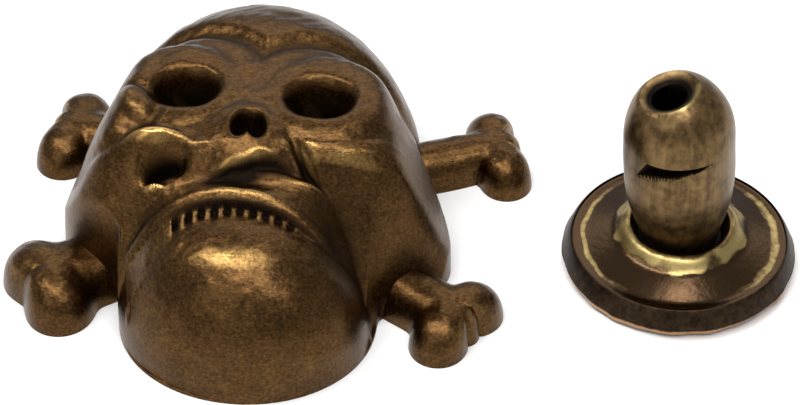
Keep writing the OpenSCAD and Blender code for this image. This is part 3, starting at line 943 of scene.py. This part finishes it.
        # Painted highlight on the lower right of the rim of the tip's dish.
        local = np.concatenate([reach, self.hole_r + (self.dish_r - self.hole_r) * np.cos(0.5 * math.pi * u)])
        lit = np.clip(np.cos(angle + 0.25 * math.pi), 0.0, 1.0)
        wear_and_highlight[n + len(z):n + len(z) + len(local)] = 0.9 * np.exp(-((local[:, None] - 0.82) / 0.09) ** 2) * lit
        plate[:n] = rise((r - 1.95) / 0.1)
        uneven = Ripple(0.9, seed=23).at(flange)
        wear_and_highlight[:n] = np.exp(-((r - 1.74 - 0.09 * uneven) / 0.22) ** 4) * (0.75 + 0.35 * uneven)
        side = np.clip(1.5 * np.abs(np.cos(angle - 0.1)) - 0.45 - 0.35 * (np.sin(angle) > 0.75), 0.0, 1.0)
        wear_and_highlight[:n] += np.exp(-((r - 2.86 - 0.03 * uneven) / (0.09 + 0.05 * (np.cos(angle) > 0.0))) ** 4) * 0.6 * side
        tones = {"hollow": hollow, "wear_and_highlight": wear_and_highlight, "plate": plate}
        rings = rings + np.array([middle[0], middle[1], 0.0])
        made = Skin("rivet_post", rings, None, tones, 60.0).build(POST_BRASS.build())
        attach(made, BODY)
        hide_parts("post")
        return made


@dataclass
class BaseCap:
    """The base cap: a shallow cup of sheet whose rim is curled in over the flange, in mm."""

    height: float = 0.95
    sheet: float = 0.22
    curl: float = 0.29
    ragged: float = 0.07
    around: int = 360

    def section(self, radius: float) -> Array:
        """Radius and height of its rings: the bottom, the outside of the curl, its edge and inside."""
        mid = 0.5 * self.height
        turn = np.linspace(-math.pi / 3.0, 0.5 * math.pi, 40)
        outer = np.stack([radius - self.curl + self.curl * np.cos(turn), mid + mid * np.sin(turn)], -1)
        share = np.clip(np.sin(turn), 0.0, 1.0)
        band = np.stack([radius - self.curl * share, 0.3 + (self.height - 0.3) * share], -1)
        outer = np.where((turn > 0.0)[:, None], 0.3 * outer + 0.7 * band, outer)
        outer[:, 1] = np.where(turn > 0.0, outer[:, 1], 0.85 * outer[:, 1])
        turn = np.linspace(0.5 * math.pi, -0.5 * math.pi, 16)
        inner = np.stack([radius - self.curl + (self.curl - self.sheet) * np.cos(turn),
                          mid + (mid - self.sheet) * np.sin(turn)], -1)
        bottom = [(0.5 * radius, 0.0), (0.8 * radius, 0.0), (radius - 1.2 * self.curl, 0.0)]
        return np.concatenate([bottom, outer, inner, [(0.6 * radius, self.sheet)]])

    def build(self) -> bpy.types.Object:
        """Makes the base cap on its packed place."""
        low, high = (np.array(corner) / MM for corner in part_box("base_cap"))
        middle, radius = 0.5 * (low + high), 0.5 * (high[0] - low[0])
        angle = np.linspace(0.0, 2.0 * math.pi, self.around, endpoint=False)
        rz = self.section(radius)
        r = np.broadcast_to(rz[:, :1], (len(rz), self.around))
        z = np.broadcast_to(rz[:, 1:], r.shape)
        at = np.stack([r * np.cos(angle), r * np.sin(angle), z], -1)
        edge = np.clip(1.0 - np.abs(z - 0.1) / 0.35, 0.0, 1.0) * (r > radius - 0.6)
        r = r - self.ragged * edge * (0.5 + 0.5 * Ripple(0.9, seed=31).at(at))
        r = np.minimum(r, radius)
        rings = np.stack([middle[0] + r * np.cos(angle), middle[1] + r * np.sin(angle), z], -1)
        side = np.abs(np.cos(angle)) ** 1.5 * (0.6 + 0.4 * np.sin(angle))
        wear_and_highlight = np.exp(-((at[..., 2] - self.height) / 0.1) ** 2) * np.exp(
            -((np.hypot(at[..., 0], at[..., 1]) - radius + 0.42) / 0.1) ** 2) * np.clip(0.8 * side, 0.0, 1.0)
        copper = np.exp(-((at[..., 2] - 0.2) / 0.13) ** 2) * (r > radius - 0.5)
        poles = np.array([[middle[0], middle[1], 0.0], [middle[0], middle[1], self.sheet]])
        made = Skin("rivet_base", rings[:, ::-1], poles, {"wear_and_highlight": wear_and_highlight[:, ::-1], "copper": copper[:, ::-1]}, 60.0)
        made = made.build(BASE_BRASS.build())
        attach(made, BODY)
        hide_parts("base_cap")
        return made


@dataclass
class Stage:
    """Pale floor, soft lamps and the camera at the photograph's angle."""

    target: tuple[float, float, float] = (3.84, 2.55, 0.0)
    azimuth: float = 5.8
    elevation: float = 42.5
    distance: float = 105.0
    focal_px: float = 3427.0
    frame_px: float = 800.0
    sensor: float = 36.0

    def floor(self) -> None:
        """Makes the floor, a pale matt sheet under the part."""
        size = 0.6
        mesh = bpy.data.meshes.new("floor")
        corners = [(-size, -size, 0), (size, -size, 0), (size, size, 0), (-size, size, 0)]
        mesh.from_pydata(corners, [], [(0, 1, 2, 3)])
        material = bpy.data.materials.new("floor_paper")
        material.use_nodes = True
        shader = material.node_tree.nodes["Principled BSDF"]
        shader.inputs["Base Color"].default_value = (0.93, 0.93, 0.93, 1.0)
        shader.inputs["Roughness"].default_value = 0.9
        mesh.materials.append(material)
        made = bpy.data.objects.new("floor", mesh)
        bpy.context.scene.collection.objects.link(made)

    def lamp(self, name: str, place: Triple, size: tuple[float, float], glow: float) -> None:
        """Makes a rectangular lamp that faces the part.

        Args:
            name: Name of the lamp.
            place: Its place, in mm.
            size: Its width and depth, in mm.
            glow: Its radiance, 1 being as bright as white paper.
        """
        data = bpy.data.lights.new(name, "AREA")
        data.shape = "RECTANGLE"
        data.size = size[0] * MM
        data.size_y = size[1] * MM
        data.energy = glow * math.pi * size[0] * size[1] * MM * MM
        made = bpy.data.objects.new(name, data)
        made.location = [v * MM for v in place]
        made.rotation_euler = look_along(np.array([4.0, 0.0, 2.0]) - np.array(place))
        bpy.context.scene.collection.objects.link(made)

    def camera(self) -> None:
        """Makes the camera, at a distance from its target along the view's azimuth and elevation."""
        a, e = math.radians(self.azimuth), math.radians(self.elevation)
        back = np.array([math.sin(a) * math.cos(e), -math.cos(a) * math.cos(e), math.sin(e)])
        data = bpy.data.cameras.new("camera")
        data.sensor_width = self.sensor
        data.lens = self.sensor * self.focal_px / self.frame_px
        data.clip_start = 0.002
        made = bpy.data.objects.new("camera", data)
        made.location = (np.array(self.target) + self.distance * back) * MM
        made.rotation_euler = look_along(-back)
        bpy.context.scene.collection.objects.link(made)
        bpy.context.scene.camera = made

    def world(self) -> None:
        """Sets a plain, even surround."""
        world = bpy.data.worlds.new("studio")
        world.use_nodes = True
        tree = world.node_tree
        ground = tree.nodes["Background"]
        ground.inputs["Color"].default_value = (1.0, 1.0, 1.0, 1.0)
        ground.inputs["Strength"].default_value = 0.45
        bpy.context.scene.world = world

    def build(self) -> None:
        """Makes the whole stage."""
        self.floor()
        self.lamp("overhead_softbox", (-10.0, -25.0, 90.0), (150.0, 12.0), 17.0)
        self.lamp("plate_card", (16.0, 12.0, 90.0), (16.0, 12.0), 18.0)
        self.lamp("back_softbox", (10.0, 105.0, 90.0), (150.0, 60.0), 1.7)
        self.lamp("front_softbox", (-40.0, -90.0, 70.0), (60.0, 60.0), 1.5)
        self.camera()
        self.world()
        bpy.context.scene.view_settings.view_transform = "Standard"


def look_along(way: Array) -> tuple[float, float, float]:
    """Turn that points an object's -Z along a direction, with its +Y upwards.

    Args:
        way: The direction.

    Returns:
        Euler angles, in radians.
    """
    flat = math.hypot(way[0], way[1])
    return (math.pi / 2.0 + math.atan2(way[2], flat), 0.0, math.atan2(way[1], way[0]) - math.pi / 2.0)


def main() -> None:
    """Builds the stage and the pieces."""
    logging.basicConfig(level=logging.INFO, format="%(name)s: %(message)s")
    Stage().build()
    pieces = SkullCap().build() + [Post().build(), BaseCap().build()]
    for piece in pieces:
        LOG.info("%s has %d faces", piece.name, len(piece.data.polygons))


if __name__ == "__main__":
    main()
